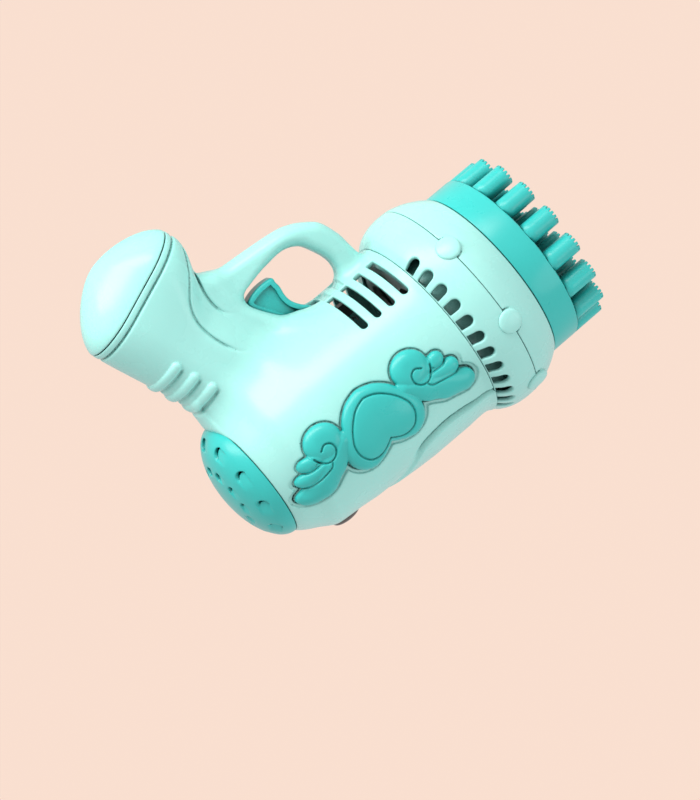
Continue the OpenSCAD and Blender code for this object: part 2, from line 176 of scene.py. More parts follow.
def add_lights(right, up, back, target):
    """A key from the camera's upper left, weak fills, and a world dimmer than its backdrop."""
    key = target + (-0.56 * right + 0.56 * up + 0.54 * back) * 1.1
    add_area("key", key, target, (1.6, 0.5), 13, (1, 0.99, 0.97))
    side = target + (0.9 * right - 0.1 * up + 0.5 * back) * 1.3
    add_area("side_fill", side, target, (0.7, 0.7), 1.2, (0.93, 0.98, 1))
    add_area("top", target + Vector((0.15, 0.35, 1.1)), target, (0.8, 0.8), 2.5, (1, 0.99, 0.97),
             shine=False)
    add_area("far_side", target + Vector((0.3, -1.1, 0.35)), target, (0.8, 0.8), 3, (1, 0.98, 0.95),
             shine=False)
    world = bpy.data.worlds.new("studio")
    world.use_nodes = True
    nodes, links = world.node_tree.nodes, world.node_tree.links
    light = nodes["Background"]
    light.inputs["Color"].default_value = (1.0, 0.96, 0.93, 1)
    light.inputs["Strength"].default_value = 0.58
    backdrop = nodes.new("ShaderNodeBackground")
    backdrop.inputs["Color"].default_value = (0.95, 0.74, 0.63, 1)
    seen = nodes.new("ShaderNodeLightPath")
    mix = nodes.new("ShaderNodeMixShader")
    links.new(seen.outputs["Is Camera Ray"], mix.inputs[0])
    links.new(light.outputs[0], mix.inputs[1])
    links.new(backdrop.outputs[0], mix.inputs[2])
    links.new(mix.outputs[0], nodes["World Output"].inputs["Surface"])
    bpy.context.scene.world = world
    bpy.context.scene.view_settings.view_transform = "Standard"


def add_floor():
    """A pale floor that is clear from below, where the camera looks up past it."""
    half = FLOOR_HALF
    z = cad_box[0].z - 0.2 * MM
    mesh = bpy.data.meshes.new("floor")
    corners = [(-half, -half, z), (half, -half, z), (half, half, z), (-half, half, z)]
    mesh.from_pydata(corners, [], [(0, 1, 2, 3)])
    floor = bpy.data.objects.new("floor", mesh)
    floor.visible_shadow = False
    bpy.context.scene.collection.objects.link(floor)
    material = bpy.data.materials.new("floor")
    material.use_nodes = True
    tree = material.node_tree
    shader = tree.nodes["Principled BSDF"]
    shader.inputs["Base Color"].default_value = (0.86, 0.83, 0.8, 1)
    shader.inputs["Roughness"].default_value = 0.7
    clear = tree.nodes.new("ShaderNodeBsdfTransparent")
    side = tree.nodes.new("ShaderNodeNewGeometry")
    mix = tree.nodes.new("ShaderNodeMixShader")
    tree.links.new(side.outputs["Backfacing"], mix.inputs[0])
    tree.links.new(shader.outputs[0], mix.inputs[1])
    tree.links.new(clear.outputs[0], mix.inputs[2])
    tree.links.new(mix.outputs[0], tree.nodes["Material Output"].inputs["Surface"])
    mesh.materials.append(material)


view_axes = add_camera()
add_lights(*view_axes)
add_floor()


# ---- Materials ----

# How far a colour drifts down and up, and what is left of its square where shade is painted into
# creases and hollows.
DRIFT_DOWN, DRIFT_UP, CREASE_SHADE = 0.06, 0.04, 0.18


def finish_material(name, colour, rough, metallic=0.0, coat=0.0, soft=0.0, grain=900, bump=0.05):
    """A moulded or turned surface: slow colour drift, uneven gloss, fine grain, and painted shade in
    creases and hollows.
    """
    material = bpy.data.materials.new(name)
    material.use_nodes = True
    nodes, links = material.node_tree.nodes, material.node_tree.links
    shader = nodes["Principled BSDF"]
    shader.inputs["Metallic"].default_value = metallic
    shader.inputs["Coat Weight"].default_value = coat
    shader.inputs["Coat Roughness"].default_value = 0.12
    shader.inputs["Subsurface Weight"].default_value = soft
    shader.inputs["Subsurface Radius"].default_value = (0.6, 1.0, 1.0)
    shader.inputs["Subsurface Scale"].default_value = 0.002
    place = nodes.new("ShaderNodeTexCoord")

    def noise(scale, detail):
        node = nodes.new("ShaderNodeTexNoise")
        node.inputs["Scale"].default_value = scale
        node.inputs["Detail"].default_value = detail
        links.new(place.outputs["Object"], node.inputs["Vector"])
        return node.outputs["Fac"]

    def mapped(value, end, low, high):
        """A value with the limits of its From or To range set."""
        node = nodes.new("ShaderNodeMapRange")
        node.inputs[end + " Min"].default_value = low
        node.inputs[end + " Max"].default_value = high
        links.new(value, node.inputs["Value"])
        return node.outputs["Result"]

    def openness(samples, distance, low, high):
        """From 0 where surfaces within the distance close a place in to 1 in the open."""
        node = nodes.new("ShaderNodeAmbientOcclusion")
        node.samples = samples
        node.inputs["Distance"].default_value = distance
        return mapped(node.outputs["AO"], "From", low, high)

    drift = noise(18, 2)
    ramp = nodes.new("ShaderNodeValToRGB")
    ramp.color_ramp.elements[0].position = 0.3
    ramp.color_ramp.elements[1].position = 0.7
    ramp.color_ramp.elements[0].color = [c * (1 - DRIFT_DOWN) for c in colour] + [1]
    ramp.color_ramp.elements[1].color = [min(1, c * (1 + DRIFT_UP)) for c in colour] + [1]
    links.new(drift, ramp.inputs["Fac"])
    # Painted shade: ambient occlusion pulls the colour towards a dark tone in creases and seams, and in
    # enclosed hollows such as slots, bores and the gaps between tubes.
    dark = nodes.new("ShaderNodeMix")
    dark.data_type = "RGBA"
    dark.inputs["A"].default_value = [c * c * CREASE_SHADE for c in colour] + [1]
    links.new(ramp.outputs["Color"], dark.inputs["B"])
    both = nodes.new("ShaderNodeMath")
    both.operation = "MULTIPLY"
    links.new(openness(4, 0.0016, 0.26, 0.68), both.inputs[0])
    links.new(openness(3, 0.06, 0.12, 0.52), both.inputs[1])
    links.new(both.outputs[0], dark.inputs["Factor"])
    links.new(dark.outputs["Result"], shader.inputs["Base Color"])

    gloss = mapped(noise(70, 4), "To", max(0.03, rough - 0.05), rough + 0.07)
    links.new(gloss, shader.inputs["Roughness"])
    relief = nodes.new("ShaderNodeBump")
    relief.inputs["Strength"].default_value = bump
    relief.inputs["Distance"].default_value = 0.0002
    links.new(noise(grain, 3), relief.inputs["Height"])
    links.new(relief.outputs["Normal"], shader.inputs["Normal"])
    return material


MINT = (0.42, 0.89, 0.85)
TEAL = (0.034, 0.59, 0.57)
FINISH = {
    "mint_shell": finish_material("mint_plastic", MINT, 0.26, coat=0.35, soft=0.12),
    "teal_trim": finish_material("teal_plastic", TEAL, 0.28, coat=0.3, soft=0.06),
    "dark_button": finish_material("button_plastic", (0.13, 0.105, 0.10), 0.16, coat=0.6),
    "white_plastic": finish_material("white_plastic", (0.75, 0.76, 0.76), 0.35, coat=0.1),
    "switch_black": finish_material("switch_plastic", (0.03, 0.03, 0.032), 0.4, bump=0.12),
    "board_green": finish_material("board_laminate", (0.02, 0.16, 0.07), 0.35, coat=0.3),
    "steel": finish_material("steel", (0.62, 0.63, 0.65), 0.28, metallic=1.0, grain=1800),
    "contact_brass": finish_material("brass", (0.72, 0.5, 0.2), 0.3, metallic=1.0, grain=1500),
    "cell_wrap": finish_material("cell_wrap", (0.04, 0.09, 0.2), 0.3, coat=0.4),
    "wire_red": finish_material("wire_red", (0.5, 0.02, 0.02), 0.4),
    "wire_black": finish_material("wire_black", (0.02, 0.02, 0.02), 0.4),
    "wire_yellow": finish_material("wire_yellow", (0.65, 0.45, 0.03), 0.4),
}


# ---- Distance fields ----

def join(a, b, blend=0.0):
    """Union of two fields, with a fillet of about blend."""
    if not blend:
        return np.minimum(a, b)
    h = np.clip(0.5 + 0.5 * (b - a) / blend, 0, 1)
    return b + (a - b) * h - blend * h * (1 - h)


def keep(a, b, blend=0.0):
    """What is inside both fields, with an edge rounded by about blend."""
    return -join(-a, -b, blend)


def cut(a, b, blend=0.0):
    return keep(a, -b, blend)


def step(x, lo, hi):
    t = np.clip((x - lo) / (hi - lo), 0, 1)
    return t * t * (3 - 2 * t)


def bell(x, width):
    return np.exp(-(x / width) ** 2)


def curve_through(points, steps=5, closed=True):
    """Points of a smooth curve through the given ones."""
    p = np.array(points, float)
    if closed:
        p = np.vstack([p[-1], p, p[0], p[1]])
    else:
        p = np.vstack([2 * p[0] - p[1], p, 2 * p[-1] - p[-2]])
    t = np.arange(steps)[:, None] / steps
    out = []
    for a, b, c, d in zip(p, p[1:], p[2:], p[3:]):
        out.append(0.5 * (2 * b + (c - a) * t + (2 * a - 5 * b + 4 * c - d) * t ** 2
                          + (3 * b - a - 3 * c + d) * t ** 3))
    return np.vstack(out if closed else out + [p[-2:-1]])


def line_distance(points, a, b, closed=False):
    """Distance from each place (a, b) to a line through points."""
    ends = np.roll(points, -1, 0) if closed else points[1:]
    best = np.full(np.broadcast_shapes(np.shape(a), np.shape(b)), 1e9, np.float32)
    for (px, py), (qx, qy) in zip(points, ends):
        ex, ey = qx - px, qy - py
        t = np.clip(((a - px) * ex + (b - py) * ey) / (ex * ex + ey * ey + 1e-9), 0, 1)
        best = np.minimum(best, (a - px - t * ex) ** 2 + (b - py - t * ey) ** 2)
    return np.sqrt(best)


def outline(points, a, b):
    """Signed distance from each place (a, b) to a closed outline, negative inside."""
    inside = np.zeros(np.broadcast_shapes(np.shape(a), np.shape(b)), bool)
    for (px, py), (qx, qy) in zip(points, np.roll(points, -1, 0)):
        if py != qy:
            inside ^= ((py > b) != (qy > b)) & (a < (qx - px) * (b - py) / (qy - py) + px)
    return np.where(inside, -1, 1) * line_distance(points, a, b, closed=True)


def slab(flat, y, half, edge):
    """An outline made into a plate of the given half width, with rounded edges."""
    p = flat + edge
    q = np.abs(y) - half + edge
    return np.minimum(np.maximum(p, q), 0) + np.hypot(np.maximum(p, 0), np.maximum(q, 0)) - edge


def rod(a, b, r):
    return np.hypot(a, b) - r


def oval(a, half, b, r):
    """A long oval: a bar of the given half length along a, rounded to radius r."""
    return np.hypot(np.maximum(np.abs(a) - half, 0), b) - r


def grip_axes(x, z):
    """Places along the grip's own axes, u forward and w up."""
    u = math.cos(RAKE) * x - math.sin(RAKE) * z
    w = math.sin(RAKE) * x + math.cos(RAKE) * z
    return u, w


def smooth_curve(points):
    """A curve without overshoot through (place, value) points, as a function of place."""
    x, y = np.array(points, float).T
    h = np.diff(x)
    s = np.diff(y) / h
    both = s[:-1] * s[1:]
    inner = np.where(both > 0, 2 * both / np.where(both > 0, s[:-1] + s[1:], 1), 0)
    m = np.concatenate([s[:1], inner, s[-1:]])

    def at(q):
        q = np.clip(q, x[0], x[-1])
        i = np.clip(np.searchsorted(x, q) - 1, 0, len(h) - 1)
        t = (q - x[i]) / h[i]
        return (y[i] * (1 + 2 * t) * (1 - t) ** 2 + h[i] * m[i] * t * (1 - t) ** 2
                + y[i + 1] * t * t * (3 - 2 * t) + h[i] * m[i + 1] * t * t * (t - 1))
    return at


# ---- Meshing ----

CORNERS = [(i, j, k) for i in (0, 1) for j in (0, 1) for k in (0, 1)]


def sample(d, p):
    """Value and slope of a field, in cells, at places p between the grid's points."""
    base = np.clip(p.astype(int), 0, np.array(d.shape) - 2)
    f = (p - base).astype(np.float32)
    value = np.zeros(len(p), np.float32)
    slope = np.zeros((len(p), 3), np.float32)
    for corner in CORNERS:
        v = d[tuple((base + corner).T)]
        w = [f[:, a] if corner[a] else 1 - f[:, a] for a in range(3)]
        value += v * w[0] * w[1] * w[2]
        for a in range(3):
            b, c = (a + 1) % 3, (a + 2) % 3
            slope[:, a] += v * (1 if corner[a] else -1) * w[b] * w[c]
    return value, slope


def settle(d, p):
    """Moves places onto the zero surface of a field."""
    value, slope = sample(d, p)
    size = np.maximum((slope ** 2).sum(1), 1e-4)
    move = np.clip(value / size, -1, 1)[:, None] * slope
    return p - np.clip(move, -0.6, 0.6)


def surface(d):
    """Vertices, in cells, and quads of the zero surface of a field on a grid."""
    inside = d < 0
    size = np.array(d.shape) - 1
    count = np.zeros(size, np.int8)
    for i, j, k in CORNERS:
        count += inside[i:i + size[0], j:j + size[1], k:k + size[2]]
    cells = np.argwhere((count > 0) & (count < 8))
    index = np.full(size, -1, np.int32)
    index[tuple(cells.T)] = np.arange(len(cells))
    corner = {c: d[tuple((cells + c).T)] for c in CORNERS}
    total = np.zeros((len(cells), 3), np.float32)
    crossings = np.zeros(len(cells), np.float32)
    for a in range(3):
        for c in CORNERS:
            if c[a]:
                continue
            e = tuple(1 if n == a else c[n] for n in range(3))
            v0, v1 = corner[c], corner[e]
            hit = (v0 < 0) != (v1 < 0)
            t = np.where(hit, v0 / np.where(hit, v0 - v1, 1), 0)
            spot = np.tile(np.array(c, np.float32), (len(cells), 1))
            spot[:, a] = t
            total += spot * hit[:, None]
            crossings += hit
    places = cells + total / crossings[:, None]
    quads = []
    for a in range(3):
        b, c = (a + 1) % 3, (a + 2) % 3
        first = [slice(1, -1)] * 3
        second = [slice(1, -1)] * 3
        first[a], second[a] = slice(0, -1), slice(1, None)
        lo, hi = inside[tuple(first)], inside[tuple(second)]
        for leaving in (True, False):
            edges = np.argwhere(lo & ~hi if leaving else hi & ~lo)
            for n in range(3):
                edges[:, n] += n != a
            ring = []
            for db, dc in ((-1, -1), (0, -1), (0, 0), (-1, 0)):
                at = edges.copy()
                at[:, b] += db
                at[:, c] += dc
                ring.append(index[tuple(at.T)])
            quads.append(np.stack(ring if leaving else ring[::-1], 1))
    return places, np.vstack(quads)


def relax(places, quads):
    """Evens out the mesh by moving each vertex half way to the mean of its neighbours."""
    a = quads.ravel()
    b = np.roll(quads, -1, 1).ravel()
    n = np.bincount(a, minlength=len(places)) + np.bincount(b, minlength=len(places))
    mean = np.stack([
        np.bincount(a, places[b, k], len(places)) + np.bincount(b, places[a, k], len(places))
        for k in range(3)], 1) / np.maximum(n, 1)[:, None]
    return places + 0.5 * (mean - places)


def mesh_field(field, lo, hi, cell, rounds=2):
    """Meshes field(x, y, z) < 0 in the box from lo to hi, in mm."""
    lo = np.array(lo, float) - 2.37 * cell
    axes = [np.arange(lo[n], hi[n] + 3 * cell, cell, dtype=np.float32) for n in range(3)]
    shape = tuple(len(a) for a in axes)
    x, y, z = axes[0][:, None, None], axes[1][None, :, None], axes[2][None, None, :]
    d = np.ascontiguousarray(np.broadcast_to(field(x, y, z), shape), dtype=np.float32) / cell
    places, quads = surface(d)
    places = settle(d, settle(d, places))
    for _ in range(rounds):
        places = settle(d, relax(places, quads))
    return places * cell + lo, quads


def add_mesh(name, points, faces, slot, body, nodes, most=0, mirror=False):
    """A piece from points in mm from the rear rim. most is the largest number of triangles."""
    points = np.array(points, float)
    faces = np.asarray(faces)
    if mirror:
        points = points * (1, -1, 1)
        faces = faces[:, ::-1]
    mesh = bpy.data.meshes.new(name)
    mesh.from_pydata((points * MM + (RIM, 0, 0)).tolist(), [], faces.tolist())
    mesh.validate()
    piece = bpy.data.objects.new(name, mesh)
    bpy.context.scene.collection.objects.link(piece)
    triangles = sum(len(p.vertices) - 2 for p in mesh.polygons)
    if most and triangles > most:
        thin = piece.modifiers.new("thin", "DECIMATE")
        thin.ratio = most / triangles
        depsgraph = bpy.context.evaluated_depsgraph_get()
        mesh = bpy.data.meshes.new_from_object(piece.evaluated_get(depsgraph))
        piece.modifiers.clear()
        piece.data = mesh
        mesh.name = name
    mesh.shade_smooth()
    mesh.materials.append(FINISH[slot])
    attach(piece, body)
    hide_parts(*nodes)
    return piece


def mould(node, field, lo, hi, cell, slot, body, most, mirror=False):
    """The piece that takes the place of one node, meshed from a field."""
    points, faces = mesh_field(field, lo, hi, cell)
    add_mesh(node + "_moulding", points, faces, slot, body, [node], most=most, mirror=mirror)


def quad_rows(rows, count, wrap):
    """Quads between rings of count points each. wrap joins the last ring to the first."""
    quads = []
    for i in range(rows if wrap else rows - 1):
        here, there = i * count, (i + 1) % rows * count
        for j in range(count):
            on = (j + 1) % count
            quads.append((here + j, here + on, there + on, there + j))
    return quads


def lathe(profile, turns):
    """Points and quads of a closed profile of (x, radius) turned about X."""
    profile = np.array(profile, float)
    a = 2 * np.pi * np.arange(turns) / turns
    points = np.stack([
        np.repeat(profile[None, :, 0], turns, 0),
        profile[None, :, 1] * np.cos(a)[:, None],
        profile[None, :, 1] * np.sin(a)[:, None]], 2).reshape(-1, 3)
    return points, np.array(quad_rows(turns, len(profile), True))


def fillet(points, radius, steps=4):
    """A closed profile with each corner rounded."""
    p = np.array(points, float)
    out = []
    for before, here, after in zip(np.roll(p, 1, 0), p, np.roll(p, -1, 0)):
        a, b = before - here, after - here
        reach = min(radius, np.linalg.norm(a) / 2.2, np.linalg.norm(b) / 2.2)
        a, b = a / np.linalg.norm(a) * reach, b / np.linalg.norm(b) * reach
        for t in np.linspace(0, 1, steps + 1):
            out.append(here + a * (1 - t) ** 2 + b * t ** 2)
    return out


# ---- Badge outline, in mm along the barrel and round it ----

def bulge(e, width, height):
    """Height of a puffed shape at signed distance e from its outline."""
    t = np.clip(-e / width, 0, 1)
    return height * np.sqrt(1 - (1 - t) ** 2)


def tapered(a, b, ax, ay, ar, bx, by, br):
    """Distance to a rounded bar that goes from radius ar to radius br."""
    ex, ey = bx - ax, by - ay
    t = np.clip(((a - ax) * ex + (b - ay) * ey) / (ex * ex + ey * ey), 0, 1)
    return np.hypot(a - ax - t * ex, b - ay - t * ey) - (ar + (br - ar) * t)


HEART = curve_through([
    (-7, -19.6), (0, -20.4), (8, -18), (14, -13), (18, -7), (21.4, -1), (22.8, 5.5), (21.8, 11.8),
    (18.4, 16.8), (13.2, 19.2), (8, 18.2), (3.4, 15.6), (0, 13), (-7, 6)])
INNER_HEART = curve_through([
    (-6, -14.4), (0, -14.9), (6.5, -12.6), (12, -7.6), (15.4, -2.5), (17, 2), (16.6, 7.2),
    (13.8, 11.8), (10, 13.4), (6.2, 13), (3, 11.4), (0, 9.3), (-6, 4)])
CURL = (27, -10.6, 9.9)
SPIRAL = curve_through([
    (35.6, -6.8), (33.9, -3), (30.6, -0.8), (26.8, -1.4), (24.4, -4.4), (24.9, -8.2),
    (28, -9.8), (31, -8)], closed=False)


def badge_parts(u, s):
    """Signed distances to the parts of the badge, the same on both sides of its middle."""
    u = np.abs(u)
    heart = outline(HEART, u, s)
    curl = rod(u - CURL[0], s - CURL[1], CURL[2])
    sweep = join(tapered(u, s, 20, -5, 5, 30, 2, 7.5), tapered(u, s, 30, 2, 7.5, 38, 8, 7.2), 3)
    sweep = join(sweep, tapered(u, s, 38, 8, 7.2, 46, 12.6, 6.2), 3)
    feather_2 = tapered(u, s, 33, -1, 3.6, 44.2, 1.2, 4.3)
    feather_1 = tapered(u, s, 32, -6, 3.4, 40.0, -6.2, 4.1)
    return heart, curl, sweep, feather_2, feather_1


def badge_outline(u, s):
    parts = badge_parts(u, s)
    whole = parts[0]
    for part in parts[1:]:
        whole = join(whole, part, 0.8)
    return whole


def badge_height(u, s):
    heart, curl, sweep, feather_2, feather_1 = badge_parts(u, s)
    inner = outline(INNER_HEART, np.abs(u), s)
    top = bulge(badge_outline(u, s), 2.2, 2.5)
    top = np.maximum(top, bulge(heart, 5, 3.6))
    top = np.maximum(top, bulge(inner, 9, 1.1) + 3.2 * (inner < 0))
    top = np.maximum(top, bulge(curl, 6.5, 4.1))
    top = np.maximum(top, bulge(sweep, 7, 3.7))
    top = np.maximum(top, bulge(feather_2, 3.8, 3.5))
    top = np.maximum(top, bulge(feather_1, 3.4, 3.2))
    top = top - 1.1 * bell(inner, 0.42)
    turn = line_distance(SPIRAL, np.abs(u), s)
    top = top - 1.2 * bell(turn, 0.42)
    clear = step(curl, 0, 1.5)
    top = top - 1.1 * bell(feather_2, 0.42) * (sweep < 0.6) * clear
    top = top - 1.1 * bell(feather_1, 0.42) * (feather_2 < 0.6) * clear
    beside = step(np.abs(u), 31, 35) * step(s, -13, -9)
    return top - 0.6 * bell(curl, 0.42) * beside


def on_barrel(points, side_up):
    """Points (along, round, height) laid on the barrel at the badge's place."""
    u, s, h = np.array(points, float).T
    x = u + BADGE_X
    angle = np.radians(BADGE_ANGLE) + s / BADGE_R
    r = barrel_radius(x) + h
    return np.stack([x, r * np.cos(angle) * side_up, r * np.sin(angle)], 1)


# ---- Housing ----

barrel_radius = smooth_curve([
    (-4, 25), (0, CAP_R), (10, 39.1), (19, 43.8), (32, 44.9), (43, 46.1), (60, 46.6), (100, 47.1),
    (106, 47.4), (109.8, 48), (BARREL_END + 0.6, 50.1)])

HOUSING = curve_through([
    (24, -38), (66, -36), (65, -46), (58.5, -51.7), (54.7, -58), (49, -67), (46.5, -76),
    (45, -89), (36, -92), (25, -80)])
GUARD = curve_through([
    (38, -89), (46, -89), (79, -86.2), (90, -83.5), (97, -79.6), (101.8, -75.5), (105.2, -68),
    (107, -60), (108, -40), (93.4, -40), (94.7, -56.6), (90.5, -67.6), (86, -73.5), (78, -76.6),
    (65.5, -75.4), (48.7, -71.5), (38, -75)])
SLOT = curve_through([
    (47.5, -50), (42.9, -60), (41.2, -66), (41.6, -71.4), (48, -73.5), (76.6, -73.5),
    (76.6, -40), (58, -36), (54, -44)])
PANEL_SIDE = [
    (54, 15), (62, 28), (69, 36.3), (78, 39), (87, 39.6), (96, 38.3), (104, 36.4), (113, 37),
    (124, 38)]
PANEL = curve_through([(46, 0)] + PANEL_SIDE + [(x, -y) for x, y in reversed(PANEL_SIDE)])
WEB_LINES = [curve_through(line, closed=False) for line in (
    [(41.5, -111), (33.2, -99.3), (24.6, -89.5), (21.6, -79.5), (23.6, -67.8), (29, -56.4),
     (35, -52)],
    [(41, -105), (36.5, -94), (34.2, -85.7), (34.6, -77.6), (37, -72.5), (42, -68)])]

# Vents under the barrel: place of each along it, half width, first and last angle, and radius.
VENTS = [81.1 + 8.6 * i for i in range(4)]
VENT_HALF, VENT_FROM, VENT_TO, VENT_R = 2.0, -77, -39, 46.5

# Finger ribs: height of each on the grip, front end, half width, height, and place of its groove.
RIBS = [-44.2 - 10 * i for i in range(3)]
RIB_END, RIB_HALF, RIB_HEIGHT, RIB_GROOVE = 26.4, 2.6, 1.8, 3.4


def vent_shape(x, angle):
    """Distance to the vent slots: square towards the guard and round towards the side."""
    best = np.full(np.broadcast_shapes(np.shape(x), np.shape(angle)), 1e3, np.float32)
    round_end = np.radians(angle - VENT_TO) * VENT_R + VENT_HALF
    square_end = np.radians(VENT_FROM - angle) * VENT_R
    for middle in VENTS:
        bar = np.hypot(x - middle, np.maximum(round_end, 0)) - VENT_HALF
        best = np.minimum(best, np.maximum(bar, square_end))
    return best


def barrel_relief(x, angle):
    """Height above the plain barrel: top panel, lip round the badge, and grooves."""
    from_top = np.radians(90 - np.abs(angle)) * 47
    top = np.where(angle > 0, outline(PANEL, x, from_top), 20)
    rise = np.interp(x, (44, 65, 76, 98, 112), (0.4, 1.9, 2.4, 2.3, 1.2))
    height = rise * step(-top, -0.2, 2.0) - 1.5 * bell(top, 0.55) * step(x, 62, 70)
    above = np.radians(angle - BADGE_ANGLE) * BADGE_R
    badge = badge_outline(x - BADGE_X, above)
    pocket = 1.1 * step(-badge, -2.7, -2.2) * step(above, -5, 5)
    height = height - pocket - 1.1 * bell(badge - 0.25, 0.45)
    for middle in VENTS[:2]:
        band = step(np.abs(x - middle), VENT_HALF + 0.15, VENT_HALF - 0.35)
        height = height - 1.3 * band * step(-angle, 79, 80) * step(angle, -112, -108)
    return height


def shell_field(wells):
    """Field of one half of the housing, on the side of positive y."""
    def field(x, y, z):
        angle = np.degrees(np.arctan2(z, y))
        rho = np.hypot(y, z)
        radius = barrel_radius(x)
        slope = np.gradient(radius[:, 0, 0], x[:, 0, 0])[:, None, None]
        squeeze = 1 / np.sqrt(1 + slope ** 2)
        table_angles = np.linspace(-95, 95, 1521, dtype=np.float32)
        flat_x = x[:, :, 0]
        relief = barrel_relief(flat_x, table_angles[None, :]).astype(np.float32)
        vents = vent_shape(flat_x, table_angles[None, :]).astype(np.float32)
        place = np.clip((angle[0] + 95) * 8, 0, 1519)
        low = place.astype(int)
        part = (place - low).astype(np.float32)

        def spread(table):
            return table[:, low] * (1 - part) + table[:, low + 1] * part

        barrel = (rho - radius - spread(relief)) * squeeze
        barrel = keep(barrel, -x, 0.6)
        barrel = keep(barrel, x - BARREL_END, 0.1)

        u, w = grip_axes(x, z)
        t = step(-w, 58, 92)
        middle = COLUMN_U + (BULB_U - COLUMN_U) * t
        half = COLUMN_HALF + (BULB_HALF - COLUMN_HALF) * t
        plain = oval(u - middle, half, y, COLUMN_R + (BULB_R - COLUMN_R) * t)
        column = plain
        back = step(-u, -27, -17)
        past = np.maximum(u - RIB_END, 0)
        ribs = 0
        for rib in RIBS:
            dw = w - rib
            e = np.hypot(past, dw) / RIB_HALF
            ribs = np.maximum(ribs, np.sqrt(np.clip(1 - e * e, 0, 1)) * (RIB_HEIGHT - 0.5 * back))
            dg = dw - RIB_GROOVE
            beside = np.hypot(past, np.where(dg > 0, dg, dg * 1.4))
            column = column + 1.3 * bell(beside, 0.7 + 0.4 * back)
        column = column - ribs
        column = column + 1.7 * bell(w + GRIP_LEN - 3.8, 0.55)
        housing = slab(outline(HOUSING, x, z), y, 11, 6)
        column = keep(join(column, housing, 7), w + 16, 4)
        for line in WEB_LINES:
            end = -line[-1][1]
            fade = step(-z, end, end + 12)
            column = column + 1.5 * bell(line_distance(line, x, z), 0.6) * fade * (y > 3)
        body = join(barrel, column, 15)
        guard = slab(outline(GUARD, x, z), y, 7, 5.4)
        body = join(body, guard, 7)
        body = keep(body, -GRIP_LEN + 0.18 - w, 0.6)

        hollow = np.maximum((rho - radius + WALL) * squeeze, x - BARREL_END - 2)
        bay = np.maximum(oval(u - COLUMN_U, COLUMN_HALF, y, BAY_R), w + 28)
        belly = np.maximum(plain + WALL, -GRIP_LEN + WALL - w)
        belly = np.maximum(belly, w + 28)
        solid = cut(body, join(join(hollow, bay), belly), 0.4)
        posts = np.full_like(solid, 1e3)
        for px, pz, _ in SCREWS[:3]:
            posts = np.minimum(posts, rod(x - px, z - pz, 4.2))
        guide = np.maximum(rod(x - BUTTON_X, y, 10.3), 37.2 - z)
        seat = np.maximum(np.maximum(rho - 46.4, 42.5 - rho), np.abs(x - 109.65) - 0.75)
        solid = join(solid, keep(join(join(posts, guide), seat), barrel + 0.4), 0.5)
        solid = cut(solid, slab(outline(SLOT, x, z), y, TRIGGER_HALF + 0.6, 1.2), 0.8)
        solid = cut(solid, np.maximum(spread(vents), 36 - rho), 0.7)
        button = np.maximum(rod(x - BUTTON_X, y, 8.3), 30 - z)
        solid = cut(solid, button, 0.9)
        if wells:
            for px, pz, head in SCREWS:
                well = np.maximum(rod(x - px, z - pz, 3.2), -y - head)
                solid = cut(solid, well, 0.5)
        return keep(solid, 0.04 - y, 0.35)
    return field


SHELL_BOX = ((-26, 0, -122), (BARREL_END, 50.5, 50.5))
for shell_side, has_wells in (("left", False), ("right", True)):
    mould(shell_side + "_shell", shell_field(has_wells), *SHELL_BOX, 0.52, "mint_shell", "housing",
          185000, mirror=has_wells)


# ---- Badges ----

def badge_field(u, s, h):
    flat_u, flat_s = u[:, :, 0], s[:, :, 0]
    edge = badge_outline(flat_u, flat_s)[:, :, None]
    top = badge_height(flat_u, flat_s)[:, :, None]
    return keep(keep((h - top) * 0.6, edge, 0.5), -1.0 - h, 0.2)


points, faces = mesh_field(badge_field, (-52, -22, -1), (52, 20, 4.8), 0.34)
for side_name, side_up in (("left", 1), ("right", -1)):
    laid = on_barrel(points, side_up)
    turned = faces if side_up == 1 else faces[:, ::-1]
    add_mesh(side_name + "_badge_moulding", laid, turned, "teal_trim", "housing",
             [side_name + "_badge"], most=60000)


# ---- Collar ----

collar_outer = smooth_curve([
    (BARREL_END, 49.9), (117.3, 53.4), (121.5, 55.4), (125.5, 56.4), (130, COLLAR_R),
    (SEAM, COLLAR_R - 0.05), (140.8, 55.3), (148.2, 52), (COLLAR_END + 1, 48)])


def rounded_radius(curve, x, y, z):
    radius = curve(x)
    slope = np.gradient(radius[:, 0, 0], x[:, 0, 0])[:, None, None]
    return (np.hypot(y, z) - radius) / np.sqrt(1 + slope ** 2)


def folded_angle(y, z):
    """Angle above the side, in degrees, the same on both sides of the gun."""
    return np.degrees(np.arctan2(z, np.abs(y)))


def vent_collar_field(x, y, z):
    shape = rounded_radius(collar_outer, x, y, z)
    shell = keep(shape, -shape - WALL, 0.4)
    shell = join(shell, np.maximum(np.maximum(shape, x - 115.4), 44.6 - np.hypot(y, z)))
    angle = folded_angle(y, z)
    nearest = np.clip(np.round((AIR_TOP - angle) / AIR_PITCH), 0, AIR_COUNT - 1)
    across = np.radians(angle - AIR_TOP + AIR_PITCH * nearest) * AIR_R
    slot = np.hypot(np.maximum(x - 118, 0), across) - AIR_HALF
    slot = np.maximum(slot, 114.0 - x)
    slot = np.maximum(slot, 47.2 - np.hypot(y, z))
    shell = cut(shell, slot, 0.6)
    shell = keep(shell, BARREL_END + 0.06 - x, 0.1)
    return keep(shell, x - SEAM + 0.04, 0.25)


